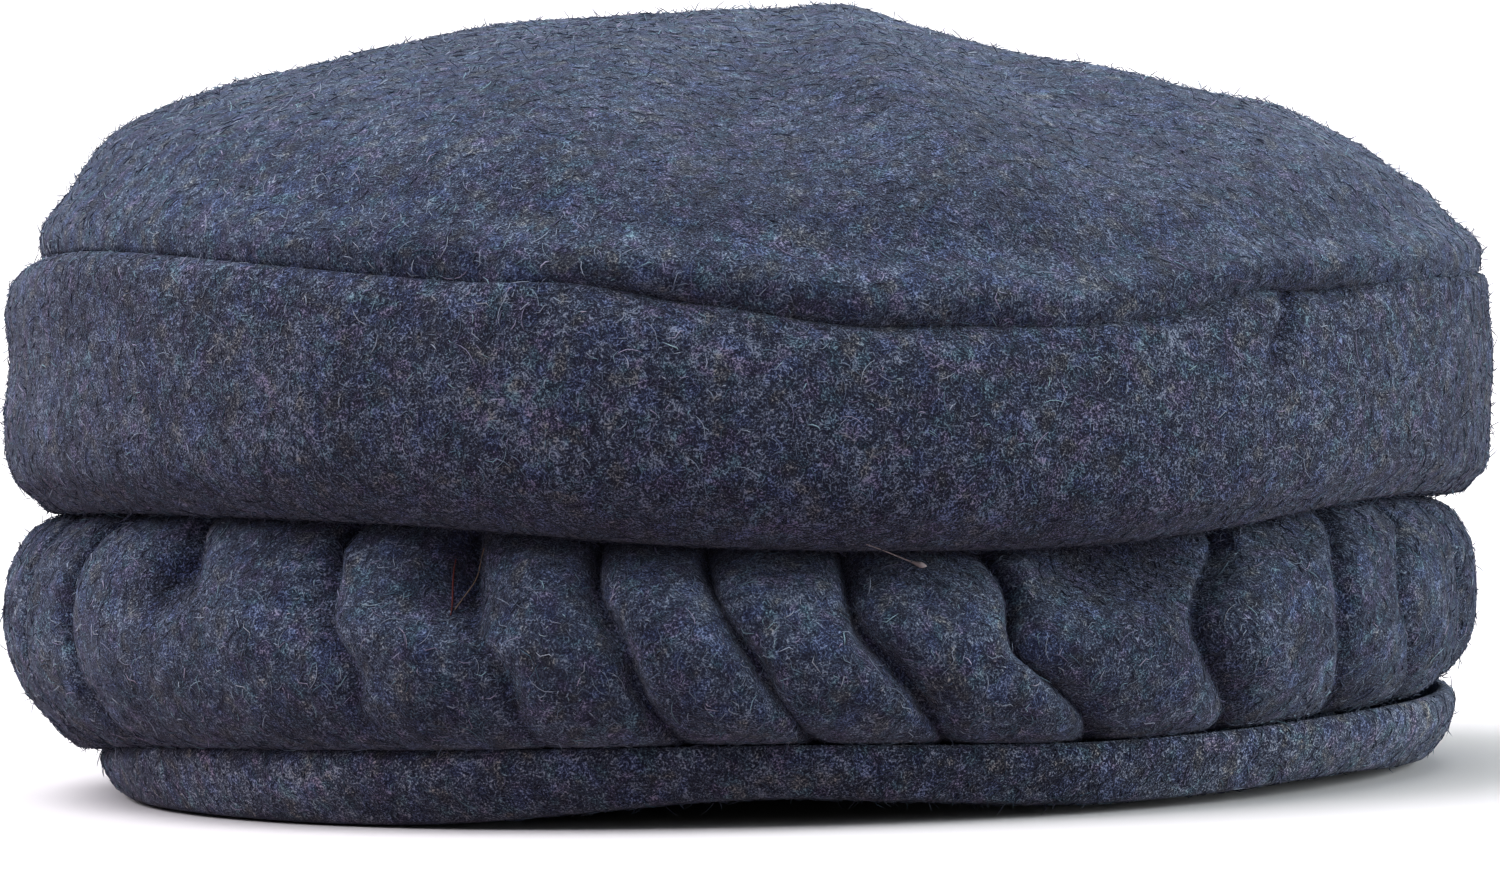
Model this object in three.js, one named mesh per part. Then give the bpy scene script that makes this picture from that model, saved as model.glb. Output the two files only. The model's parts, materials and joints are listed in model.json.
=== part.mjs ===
import * as THREE from "three";

// A round cap of felted wool cloth with a rolled brim, lying on a surface as it was taken off.
// Millimetres, +Z up. The origin is on the surface, under the middle of the cap.
// Angles go round the cap from its front, which faces -Y, towards +X.

// Driving dimensions
const HEAD_RADIUS = 92.5; // inside of the head opening, for a head of 58 cm
const CAP_HEIGHT = 125.5; // top of the crown over the surface
const FELT = 3; // thickness of the cloth
const GAP = 0.4; // air left between two pieces that touch on the real cap
const PEAK = 10; // the crown is highest this far to the right of the middle
const TUCK = 5; // how far the side band reaches down inside the roll

// Heights and radii of the cap's sections, a row every 30 degrees round the cap.
// seam and lip: height and radius where the crown disc is sewn to the side band
// belly: radius of the side band where it is fullest
// sag: radius of the curve in which the side band rounds under to the crease
// neck: height of the crease under the side band
// girth: outer radius of the roll
// crest and plump: how square the upper and the lower half of the roll are
// shelf and flare: height and radius of the turned-up edge under the roll
// foot and hem: outer radius of the bottom edge, and its lift off the surface
// slope and puff: how soon the crown falls from its peak, and how round its shoulder is
const SECTION_COLUMNS = ["angle", "seam", "lip", "belly", "sag", "neck", "girth", "crest", "plump",
  "shelf", "flare", "foot", "hem", "slope", "puff"];
const SECTION_ROWS = [
  [-180, 85.0, 116.0, 120.7, 12, 46.5, 119.8, 2.1, 2.1, 12.4, 111.0, 106.0, 0.0, 1.7, 2.2],
  [-150, 86.0, 115.5, 120.5, 12, 46.0, 119.8, 2.2, 2.0, 11.4, 110.0, 104.5, 0.0, 1.8, 2.3],
  [-120, 86.6, 115.0, 121.0, 11, 46.0, 121.0, 2.4, 1.8, 9.4, 108.5, 102.0, 0.0, 1.9, 2.35],
  [-90, 86.4, 114.0, 121.2, 10, 46.0, 122.0, 2.5, 1.6, 7.6, 107.0, 102.0, 0.0, 2.2, 2.38],
  [-60, 89.6, 115.0, 121.3, 13, 48.0, 120.6, 1.9, 1.9, 10.8, 109.0, 104.6, 0.2, 2.0, 2.35],
  [-30, 86.2, 116.0, 121.0, 15, 47.2, 120.2, 1.5, 2.1, 12.0, 111.0, 106.0, 0.3, 1.8, 2.2],
  [0, 80.3, 116.8, 121.0, 14, 43.0, 120.2, 1.45, 2.2, 12.6, 112.0, 107.5, 4.0, 1.6, 2.1],
  [30, 76.4, 117.5, 121.3, 12, 41.8, 120.2, 1.5, 2.2, 11.0, 112.5, 108.0, 1.2, 1.5, 2.0],
  [60, 79.9, 118.4, 121.4, 10, 45.8, 119.2, 2.0, 2.1, 12.0, 113.4, 107.6, 2.0, 1.4, 2.0],
  [90, 79.2, 120.0, 121.8, 9, 43.9, 118.2, 2.4, 2.0, 12.2, 114.4, 107.6, 0.0, 1.3, 2.12],
  [120, 80.5, 118.6, 121.5, 10, 45.0, 119.2, 2.3, 2.0, 12.4, 113.6, 107.8, 0.0, 1.4, 2.05],
  [150, 83.0, 117.0, 121.0, 11, 46.0, 119.6, 2.2, 2.1, 12.6, 112.4, 107.4, 0.0, 1.6, 2.0],
];

// Soft ridges and hollows that run down the crown from its peak.
// lift is negative for a hollow, width is half the spread in degrees, and out says how far
// from the peak it is strongest: 0 is the peak and 1 the seam.
const RIDGE_COLUMNS = ["angle", "lift", "width", "out"];
const RIDGE_ROWS = [
  [-62, -1.2, 16, 0.65],
  [-22, 2.2, 11, 0.65],
  [0, -1.6, 10, 0.65],
  [20, 2.8, 10, 0.65],
  [41, -2.2, 10, 0.65],
  [61, 1.6, 9, 0.7],
  [92, -4.6, 28, 0.38],
  [136, 0.8, 14, 0.65],
  [180, -1.6, 14, 0.65],
  [-145, 1.8, 13, 0.65],
  [-105, -0.8, 12, 0.65],
];
const RIDGE_RUN = 0.3; // how far in and out from there it fades

// The pleats of the roll that the front shows, from left to right. top, middle and foot are the
// angles of a fold down its length, and the last three columns are how deep it is pressed there.
const FOLD_COLUMNS = ["top", "middle", "foot", "topDepth", "middleDepth", "footDepth"];
const FRONT_FOLDS = [
  [-84.5, -84.0, -81.5, 3.4, 3.0, 2.2],
  [-75.5, -76.5, -73.5, 3.6, 3.2, 2.4],
  [-64.5, -66.0, -62.5, 3.8, 3.2, 1.6],
  [-48.5, -51.5, -47.0, 2.6, 0.4, 0.3],
  [-34.4, -33.6, -30.0, 6.2, 3.6, 0.6],
  [-23.8, -21.4, -16.8, 4.2, 3.2, 2.2],
  [-12.6, -10.6, -5.4, 6.2, 5.6, 4.2],
  [-3.0, -0.2, 5.0, 6.2, 5.6, 4.4],
  [7.8, 11.0, 15.8, 6.4, 6.2, 4.6],
  [19.4, 23.4, 28.4, 5.6, 5.8, 4.4],
  [38.0, 37.2, 40.8, 6.2, 5.4, 4.6],
  [53.0, 50.8, 55.4, 3.4, 3.0, 2.4],
  [64.0, 61.4, 68.6, 3.8, 3.6, 2.8],
];
// Single dents in the roll. down runs from 0 under the side band to 1 on the turned-up edge,
// width and tall are half the spread in degrees and of the way down, and slant is how much
// further down the dent lies for each degree to the right.
const DENT_COLUMNS = ["angle", "down", "width", "tall", "slant", "depth"];
const DENT_ROWS = [
  [-51.0, 0.22, 3.4, 0.14, -0.03, 5.4],
  [-23.4, 0.2, 4.0, 0.17, 0.012, 6.2],
  [30.5, 0.10, 7.5, 0.13, 0.008, 5.2],
];
// Behind, the same pleats go on at an even pace.
const BACK_FOLDS = 15;
const BACK_START = 76;
const BACK_END = 264;
const BACK_SLANT = 6;
const BACK_BOW = -0.6; // how far a fold's middle lies off its straight line
const BACK_DEPTH = 4.8;
const BACK_SWAY = 1.4; // how far the folds stray from their even pace

const named = (columns, rows) => rows.map(
  (row) => Object.fromEntries(columns.map((column, i) => [column, row[i]])),
);
const SECTIONS = named(SECTION_COLUMNS, SECTION_ROWS);
const RIDGES = named(RIDGE_COLUMNS, RIDGE_ROWS);
const DENTS = named(DENT_COLUMNS, DENT_ROWS);
const SECTION_STEP = 360 / SECTIONS.length;

const radians = THREE.MathUtils.degToRad;
const mix = THREE.MathUtils.lerp;
const smooth = THREE.MathUtils.smoothstep;
const range = (count) => Array.from({ length: count }, (_, i) => i);

// The section of the cap at any angle: a smooth closed curve through the rows of each column.
function sectionAt(angle) {
  const place = (((angle + 180) % 360) + 360) % 360 / SECTION_STEP;
  const first = Math.floor(place);
  const t = place - first;
  const row = (i) => SECTIONS[(i + SECTIONS.length) % SECTIONS.length];
  const section = {};
  for (const column of SECTION_COLUMNS.slice(1)) {
    const [a, b, c, d] = [-1, 0, 1, 2].map((i) => row(first + i)[column]);
    const slopeB = (c - a) / 2;
    const slopeC = (d - b) / 2;
    section[column] = b + t * (slopeB + t * (3 * (c - b) - 2 * slopeB - slopeC
      + t * (2 * (b - c) + slopeB + slopeC)));
  }
  section.hem = Math.max(0, section.hem);
  return section;
}

// The folds all the way round, in order of angle, as seen from above.
function allFolds() {
  const pace = (BACK_END - BACK_START) / (BACK_FOLDS - 1);
  const back = range(BACK_FOLDS).map((i) => {
    const top = BACK_START + i * pace + BACK_SWAY * Math.sin(2.4 * i);
    const foot = top + BACK_SLANT;
    const middle = (top + foot) / 2 + BACK_BOW;
    return [top, middle, foot, BACK_DEPTH + Math.cos(1.7 * i), BACK_DEPTH, BACK_DEPTH - 0.6];
  });
  return named(FOLD_COLUMNS, [...FRONT_FOLDS, ...back]);
}

// A ring or disc of faces from a lathe, whose points are then put where the cap has them:
// place(column, row) gives the radius, angle and height of one point.
function lathed(columns, rows, closed, place) {
  const count = closed ? rows + 1 : rows;
  const circle = range(count).map((i) => {
    const turn = 2 * Math.PI * i / count;
    return new THREE.Vector2(2 + Math.cos(turn), Math.sin(turn));
  });
  const geometry = new THREE.LatheGeometry(circle, columns);
  const position = geometry.attributes.position;
  for (let column = 0; column <= columns; column += 1) {
    for (let row = 0; row < count; row += 1) {
      const [radius, angle, height, shift = 0] = place(column % columns, row % rows);
      const turn = radians(angle);
      position.setXYZ(column * count + row,
        shift + radius * Math.sin(turn), -radius * Math.cos(turn), height);
    }
  }
  geometry.computeVertexNormals();
  return geometry;
}

// How far the ridges and hollows lift the crown at an angle, from 0 at its peak and at its edge.
function ridgeLift(angle, u) {
  let lift = 0;
  for (const ridge of RIDGES) {
    const away = (((angle - ridge.angle + 540) % 360) - 180) / ridge.width;
    const along = (u - ridge.out) / RIDGE_RUN;
    lift += ridge.lift * Math.exp(-(away ** 2) - along ** 2);
  }
  return lift * smooth(u, 0, 0.2) * (1 - smooth(u, 0.86, 1));
}

// The crown disc: a dome, fuller on the left, with its cut edge turned down at the seam.
const CROWN_COLUMNS = 64;
const CROWN_INNER = [0, 0.34, 0.6, 0.8, 0.93, 1];
const CROWN_OUTER = [1, 0.965, 0.91, 0.83, 0.72, 0.58, 0.42, 0.25, 0.1, 0];
function crownTop() {
  const loop = [
    ...CROWN_INNER.map((u) => ({ u, under: FELT })),
    ...CROWN_OUTER.map((u) => ({ u, under: 0 })),
  ];
  return lathed(CROWN_COLUMNS, loop.length, false, (column, row) => {
    const angle = column * 360 / CROWN_COLUMNS;
    const s = sectionAt(angle);
    const { u, under } = loop[row];
    const edge = s.seam + GAP / 2;
    const rise = (CAP_HEIGHT - edge) * (1 - u ** s.slope) ** (1 / s.puff);
    const depth = under * (1 - u ** 6);
    const radius = u * (s.lip - under);
    return [radius, angle, edge + rise + ridgeLift(angle, u) - depth, PEAK * (1 - u) ** 2];
  });
}

// The side band: from the seam over a shoulder, down the puffed side, under to the neck, and
// inside the roll. It is listed round its wall: outside from the top, then inside from below.
const SIDE_COLUMNS = 60;
// A point of the curve under the belly, at an angle from level, on the wall's outer or inner face.
function rounded(s, turn, within = 0) {
  const reach = s.sag - within;
  return [s.belly - s.sag + reach * Math.cos(radians(turn)),
    s.neck + s.sag - reach * Math.sin(radians(turn))];
}
function sideWall(s) {
  const top = s.seam - GAP / 2;
  const middle = (s.seam + s.neck) / 2;
  const tuck = s.neck - TUCK;
  const inner = HEAD_RADIUS;
  return [
    [s.lip, top],
    [mix(s.lip, s.belly, 0.6), top - 1.6],
    [s.belly - 0.7, top - 6],
    [s.belly, top - 13],
    [s.belly, Math.max(middle, s.neck + s.sag + 1)],
    ...range(4).map((i) => rounded(s, 22.5 * i + 15)),
    [inner + 8, s.neck],
    [inner + 4.4, s.neck - 1.2],
    [inner + FELT, tuck],
    [inner, tuck],
    [inner + 0.4, s.neck - 0.6],
    [inner + 3, s.neck + 2.4],
    [inner + 8, s.neck + FELT],
    rounded(s, 75, FELT),
    rounded(s, 45, FELT),
    rounded(s, 15, FELT),
    [s.belly - FELT, middle],
    [s.belly - FELT - 0.7, top - 8],
    [s.lip - FELT, top - 3],
    [s.lip - FELT, top],
  ];
}
function crownSide() {
  const rows = sideWall(SECTIONS[0]).length;
  const walls = range(SIDE_COLUMNS).map((i) => sideWall(sectionAt(i * 360 / SIDE_COLUMNS)));
  return lathed(SIDE_COLUMNS, rows, true, (column, row) => {
    const [radius, height] = walls[column][rows - 1 - row];
    return [radius, column * 360 / SIDE_COLUMNS, height];
  });
}

// The pleated roll: a thick ring whose outer side is gathered into slanting lobes. Its columns
// follow the folds, six to a lobe, and each fold is pressed in level, towards the head.
const LOBE_STEPS = [0, 0.09, 0.27, 0.5, 0.73, 0.91];
const ROLL_TURNS = [-180, -140, -112, -92, -74, -57, -40, -22, -4, 14, 32, 50, 68, 88, 110, 144];
const LOBE_SQUARE = 2.5; // how flat a lobe is on top and how steep at its folds

// The value of something known at the top, middle and foot of a fold, part of the way down it.
const downFold = (top, middle, foot, down) => mix(top, foot, down)
  + 4 * (middle - (top + foot) / 2) * down * (1 - down);

// How deep the dents are at a place on the roll.
function dentDepth(angle, down) {
  let depth = 0;
  for (const dent of DENTS) {
    const away = angle - dent.angle;
    const below = (down - dent.down - dent.slant * away) / dent.tall;
    depth += dent.depth * Math.exp(-((away / dent.width) ** 2) - below ** 2);
  }
  return depth;
}
function rollPoint(s, turn, pressed) {
  const inner = HEAD_RADIUS + FELT + GAP;
  const high = s.neck - GAP;
  const low = s.shelf + GAP;
  const across = Math.cos(radians(turn));
  const up = Math.sin(radians(turn));
  const power = 2 / (turn > 0 ? s.crest : s.plump);
  const reach = Math.sign(across) * Math.abs(across) ** power * (s.girth - inner) / 2;
  const rise = Math.sign(up) * Math.abs(up) ** power * (high - low) / 2;
  return [(s.girth + inner) / 2 + reach - pressed, (high + low) / 2 + rise];
}
function pleatedRoll() {
  const folds = allFolds();
  const columns = folds.length * LOBE_STEPS.length;
  return lathed(columns, ROLL_TURNS.length, true, (column, row) => {
    const lobeNumber = Math.floor(column / LOBE_STEPS.length);
    const along = LOBE_STEPS[column % LOBE_STEPS.length];
    const left = folds[lobeNumber];
    const right = folds[(lobeNumber + 1) % folds.length];
    const lap = lobeNumber + 1 === folds.length ? 360 : 0;
    const turn = ROLL_TURNS[row];
    const down = (1 - Math.sin(radians(turn))) / 2;
    const angle = mix(downFold(left.top, left.middle, left.foot, down),
      downFold(right.top, right.middle, right.foot, down) + lap, along);
    const near = along < 0.5 ? left : right;
    const fold = downFold(near.topDepth, near.middleDepth, near.footDepth, down);
    const lobe = Math.sqrt(1 - Math.abs(2 * along - 1) ** LOBE_SQUARE);
    const shown = 1 - smooth(Math.abs(turn), 70, 120);
    const pressed = (fold * (1 - lobe) + dentDepth(angle, down)) * shown;
    const [radius, height] = rollPoint(sectionAt(angle), turn, pressed);
    return [radius, angle, height];
  });
}

// The head band: cloth that comes down inside the roll, turns at the bottom edge, and stands up
// outside as a flared edge under the roll. Listed as the side band is.
const BAND_COLUMNS = 66;
function bandWall(s) {
  const inner = HEAD_RADIUS;
  const top = s.neck - TUCK - GAP;
  const floor = s.hem + FELT;
  return [
    [s.flare - 1.2, s.shelf],
    [s.flare, s.shelf - 1.4],
    [mix(s.foot, s.flare, 0.86), mix(s.hem, s.shelf, 0.5)],
    [mix(s.foot, s.flare, 0.4), mix(s.hem, s.shelf, 0.16)],
    [s.foot - 1.2, s.hem],
    [inner + 1.4, s.hem],
    [inner, s.hem + 1.6],
    [inner, mix(s.hem, top, 0.5)],
    [inner, top],
    [inner + FELT, top],
    [inner + FELT, mix(s.hem, top, 0.5)],
    [inner + FELT, floor],
    [mix(s.foot, s.flare, 0.4) - FELT, floor],
    [s.flare - FELT - 0.6, s.shelf - 1.2],
  ];
}
function headBand() {
  const rows = bandWall(SECTIONS[0]).length;
  const walls = range(BAND_COLUMNS).map((i) => bandWall(sectionAt(i * 360 / BAND_COLUMNS)));
  return lathed(BAND_COLUMNS, rows, true, (column, row) => {
    const [radius, height] = walls[column][rows - 1 - row];
    return [radius, column * 360 / BAND_COLUMNS, height];
  });
}

// Felted wool, heathered from navy and grey-blue yarns: matt all over.
const felt = (color) => new THREE.MeshStandardMaterial({ color, roughness: 0.95, metalness: 0 });

const cap = new THREE.Group();
const pieces = [
  ["crown_top", crownTop(), felt(0x4d586d)],
  ["crown_side", crownSide(), felt(0x454e64)],
  ["pleated_roll", pleatedRoll(), felt(0x3f465b)],
  ["headband", headBand(), felt(0x434a60)],
];
for (const [name, geometry, material] of pieces) {
  const mesh = new THREE.Mesh(geometry, material);
  mesh.name = name;
  cap.add(mesh);
}

export default cap;
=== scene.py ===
# %% [markdown]
# # A wool cap with a rolled brim
# This lesson dresses a plain solid model of a cap until it looks like felted wool. The solids
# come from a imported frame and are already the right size, so nothing here is scaled or moved:
# each solid is copied, made finer, pressed into folds, and covered with a coat of fine fibres.

# %% Load the frame
import json
import math

import bmesh
import bpy
from mathutils import Matrix, Quaternion, Vector, noise

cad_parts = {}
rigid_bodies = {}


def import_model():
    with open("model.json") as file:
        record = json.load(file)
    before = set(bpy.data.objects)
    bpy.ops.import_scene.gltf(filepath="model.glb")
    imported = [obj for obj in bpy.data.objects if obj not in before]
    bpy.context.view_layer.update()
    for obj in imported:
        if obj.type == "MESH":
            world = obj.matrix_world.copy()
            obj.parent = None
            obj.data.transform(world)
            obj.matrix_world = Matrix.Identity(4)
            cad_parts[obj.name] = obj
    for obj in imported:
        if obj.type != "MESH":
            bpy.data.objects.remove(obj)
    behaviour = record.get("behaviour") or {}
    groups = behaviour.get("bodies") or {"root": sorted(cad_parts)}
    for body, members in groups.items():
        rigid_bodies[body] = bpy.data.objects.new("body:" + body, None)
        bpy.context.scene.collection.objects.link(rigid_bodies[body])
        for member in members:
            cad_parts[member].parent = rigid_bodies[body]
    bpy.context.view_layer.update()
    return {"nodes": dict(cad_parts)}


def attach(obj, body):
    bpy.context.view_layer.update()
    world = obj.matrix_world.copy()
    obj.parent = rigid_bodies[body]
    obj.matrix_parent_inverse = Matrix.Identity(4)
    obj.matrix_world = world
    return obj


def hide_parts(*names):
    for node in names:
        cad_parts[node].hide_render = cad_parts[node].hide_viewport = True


MM = 0.001
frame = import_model()
solids = frame["nodes"]

# %% [markdown]
# The picture was taken nearly level with the cap, from well back, with the camera tilted a
# little so that the cap's left side looks lower. A long lens from far away keeps the roll's
# lines as flat as they look there. The camera aims below the cap's middle, which puts the cap
# high in the frame with no lens shift.

# %% Camera
CAMERA_RISE = math.radians(2.5)
CAMERA_TILT = math.radians(1.4)
CAMERA_DISTANCE = 1.8
SENSOR_WIDTH = 36.0
LENS = 265.0
AIM = Vector((0.0003, 0.0, 0.0543))


def make_camera():
    """A level long-lens camera in front of the cap, turned a little about its own line of sight."""
    back = Vector((0.0, -math.cos(CAMERA_RISE), math.sin(CAMERA_RISE)))
    camera = bpy.data.objects.new("camera", bpy.data.cameras.new("camera"))
    camera.data.lens = LENS
    camera.data.sensor_width = SENSOR_WIDTH
    camera.data.clip_start = 0.05
    camera.data.clip_end = 1000.0
    camera.location = AIM + back * CAMERA_DISTANCE
    camera.rotation_mode = "QUATERNION"
    level = (-back).to_track_quat("-Z", "Y")
    camera.rotation_quaternion = level @ Quaternion((0.0, 0.0, 1.0), -CAMERA_TILT)
    bpy.context.scene.collection.objects.link(camera)
    bpy.context.scene.camera = camera


make_camera()

# %% [markdown]
# The light is soft and comes mostly from above, so the crown is the brightest form and the
# crease under the side band falls into deep shade. It could come from large lamps close by, but
# suns with a wide disc light the pale floor evenly, however far it runs. A second sun stands
# high on the left. The one on the right is strong but so low that it hardly reaches the floor,
# and lifts the right end of the cap. The front gets little light of its own. The floor looks
# nearly white, but throws back only a part of that, as in a room where other things take up the
# light, so the cap darkens downwards.

# %% Studio
FLOOR_RADIUS = 400.0
FLOOR_DROP = 0.05 * MM
FLOOR_GREY = (0.8, 0.8, 0.8, 1.0)
BOUNCE_GREY = (0.40, 0.32, 0.32, 1.0)
WORLD_STRENGTH = 0.12
SUNS = [
    # name, compass angle and height in degrees, disc in degrees, strength, colour
    ("overhead_light", -100.0, 72.0, 80.0, 3.3, (0.98, 0.99, 1.0)),
    ("left_light", -88.0, 52.0, 60.0, 2.3, (1.0, 0.90, 1.0)),
    ("right_light", 88.0, 7.0, 60.0, 5.0, (0.94, 0.98, 1.0)),
]


def make_sun(name, compass, height, disc, strength, colour):
    """A sun that shines from a compass angle, counted from the front of the cap to its right."""
    sun = bpy.data.objects.new(name, bpy.data.lights.new(name, "SUN"))
    sun.data.angle = math.radians(disc)
    sun.data.energy = strength
    sun.data.color = colour
    around = math.radians(compass)
    rise = math.radians(height)
    level = math.cos(rise)
    towards = Vector((math.sin(around) * level, -math.cos(around) * level, math.sin(rise)))
    sun.rotation_euler = towards.to_track_quat("Z", "Y").to_euler()
    bpy.context.scene.collection.objects.link(sun)


for row in SUNS:
    make_sun(*row)


def link(name, bm):
    """Turns a bmesh into an object that sits at the origin, with its place in its mesh."""
    mesh = bpy.data.meshes.new(name)
    bm.to_mesh(mesh)
    bm.free()
    made = bpy.data.objects.new(name, mesh)
    bpy.context.scene.collection.objects.link(made)
    return made


def make_floor():
    """A wide pale disc under the cap."""
    bm = bmesh.new()
    bmesh.ops.create_circle(bm, cap_ends=True, segments=64, radius=FLOOR_RADIUS)
    bmesh.ops.translate(bm, verts=bm.verts, vec=(0.0, 0.0, -FLOOR_DROP))
    made = link("floor", bm)
    return made


floor = make_floor()
world = bpy.data.worlds.new("studio")
bpy.context.scene.world = world
world.use_nodes = True
world.node_tree.nodes["Background"].inputs["Color"].default_value = (1.0, 1.0, 1.0, 1.0)
world.node_tree.nodes["Background"].inputs["Strength"].default_value = WORLD_STRENGTH
bpy.context.scene.view_settings.view_transform = "Standard"

# %% [markdown]
# Node trees read best as sums. This small class wraps one output socket, so that adding or
# multiplying two of them adds the Math node that does it. Colours are mixed by a Mix node,
# because a Math node would turn them grey. Any other node comes from one method.

# %% Node trees as sums


class Wire:
    """An output socket that can be added, multiplied and so on like a number."""

    def __init__(self, tree, socket):
        self.tree = tree
        self.socket = socket

    def sum(self, operation, first, second=0.0):
        values = {0: first, 1: second}
        return self.tree.node("ShaderNodeMath", {"operation": operation}, values)

    def __add__(self, other):
        return self.sum("ADD", self, other)

    def __sub__(self, other):
        return self.sum("SUBTRACT", self, other)

    def __mul__(self, other):
        return self.sum("MULTIPLY", self, other)

    def __rsub__(self, other):
        return self.sum("SUBTRACT", other, self)

    def __pow__(self, other):
        return self.sum("POWER", self, other)

    def __abs__(self):
        return self.sum("ABSOLUTE", self)


class Tree:
    """A node tree, and the one way to add a node to it."""

    def __init__(self, nodes):
        self.nodes = nodes

    def node(self, kind, settings=None, values=None, out=0):
        made = self.nodes.nodes.new(kind)
        for name, value in (settings or {}).items():
            if name == "stops":
                ramp = made.color_ramp.elements
                while len(ramp) < len(value):
                    ramp.new(0.5)
                for element, (place, colour) in zip(ramp, value):
                    element.position = place
                    element.color = (*colour, 1.0)
            else:
                setattr(made, name, value)
        for socket, value in (values or {}).items():
            if isinstance(value, Wire):
                self.nodes.links.new(value.socket, made.inputs[socket])
            else:
                made.inputs[socket].default_value = value
        return Wire(self, made.outputs[out]) if made.outputs else made

    def noise(self, place, scale, detail, out=0):
        values = {"Vector": place, "Scale": scale, "Detail": detail}
        return self.node("ShaderNodeTexNoise", {}, values, out)

    def ease(self, value, low, high):
        """0 at low, 1 at high, and a smooth step between, whichever is the greater."""
        values = {"Value": value, "From Min": low, "From Max": high}
        return self.node("ShaderNodeMapRange", {"interpolation_type": "SMOOTHSTEP"}, values)

    def mix(self, share, first, second, blend="MIX"):
        settings = {"data_type": "RGBA", "blend_type": blend}
        return self.node("ShaderNodeMix", settings, {0: share, 6: first, 7: second}, out=2)

    def arrow(self, operation, first, second):
        values = {0: first, ("Scale" if operation == "SCALE" else 1): second}
        return self.node("ShaderNodeVectorMath", {"operation": operation}, values)


# %% [markdown]
# Felted wool has no weave to see. What shows is a mat of short curly fibres in several shades
# of one dyed lot, so the cloth looks dark navy close up and grey-blue further off. A picture of
# felt could be wrapped round the cap, but it would stretch and show its seams, and a pattern
# that fills space doesn't. The curls are drawn as the thin lines where a warped noise crosses
# its middle value. A finer noise gives the flecks, two broad ones make the cloth blotchy, and
# the dye drifts a little towards teal, plum, brown and royal blue from place to place.

# %% Felt finish
WARP_SCALE = 0.5  # swirls to the millimetre
WARP_REACH = 1.3  # how far a curl is dragged, in millimetres
CURLS = [
    # lines to the millimetre, half width of the line, strength, offset of the pattern
    (0.70, 0.035, 0.26, 0.0),
    (1.30, 0.055, 0.22, 37.0),
]
MESH_SCALE = 1.5  # cells of the matted net to the millimetre
MESH_WIDTH = 0.16
MESH_STRENGTH = 0.30
FLECK_SCALE = 3.0
FLECK_STRENGTH = 1.5  # and 1 more where the most shade is painted
BLOTCH_SCALE = 0.5
BLOTCH_STRENGTH = 0.8
SHADE_SCALE = 0.10
SHADE_STRENGTH = 0.5
DRIFT_SCALE = 0.26
PATTERN_MEAN = 0.2  # about what the curls and the net add on average
MIDDLE_TONE = 0.37  # where the mean shade lies between the darkest and the palest yarn
BUMP_STRENGTH = 0.7
NAVY = (0.008, 0.011, 0.026)
DEEP = (0.024, 0.034, 0.064)
SLATE = (0.070, 0.100, 0.158)
MIST = (0.26, 0.32, 0.41)
PALE = (0.29, 0.33, 0.39)
WHITE = (1.0, 1.0, 1.0, 1.0)
TEAL = (0.80, 1.08, 1.00, 1.0)
PLUM = (1.15, 0.88, 1.02, 1.0)
RUSSET = (1.20, 1.03, 0.80, 1.0)
ROYAL = (0.88, 0.94, 1.18, 1.0)
DYES = [
    # part of a coloured noise, where the dye starts and is full, its tint
    ("Red", 0.52, 0.66, TEAL),
    ("Green", 0.52, 0.66, PLUM),
    ("Blue", 0.56, 0.70, RUSSET),
    ("Blue", 0.46, 0.34, ROYAL),
]
SHEEN_TINT = (0.62, 0.70, 0.85, 1.0)
PAINTED_SHADE_TINT = (0.44, 0.43, 0.55, 1.0)  # painted shade: the colour that the wool is darkened towards where shade is painted on it


def new_finish(name):
    """An empty material and its node tree."""
    material = bpy.data.materials.new(name)
    material.use_nodes = True
    material.node_tree.nodes.clear()
    return material, Tree(material.node_tree)


def close_finish(tree, values):
    """Adds the surface shader with these values, and joins it to the output."""
    shader = tree.node("ShaderNodeBsdfPrincipled", {}, values)
    tree.node("ShaderNodeOutputMaterial", {}, {"Surface": shader})


def dyed(tree, place, yarn):
    """The yarn's colour where the dye drifts from place to place."""
    drift = tree.noise(place, DRIFT_SCALE, 1.5, out=1)
    parts = tree.node("ShaderNodeSeparateColor", {}, {"Color": drift}).socket.node.outputs
    dye = WHITE
    for part, start, full, tint in DYES:
        dye = tree.mix(tree.ease(Wire(tree, parts[part]), start, full), dye, tint)
    return tree.mix(1.0, yarn, dye, "MULTIPLY")


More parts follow.
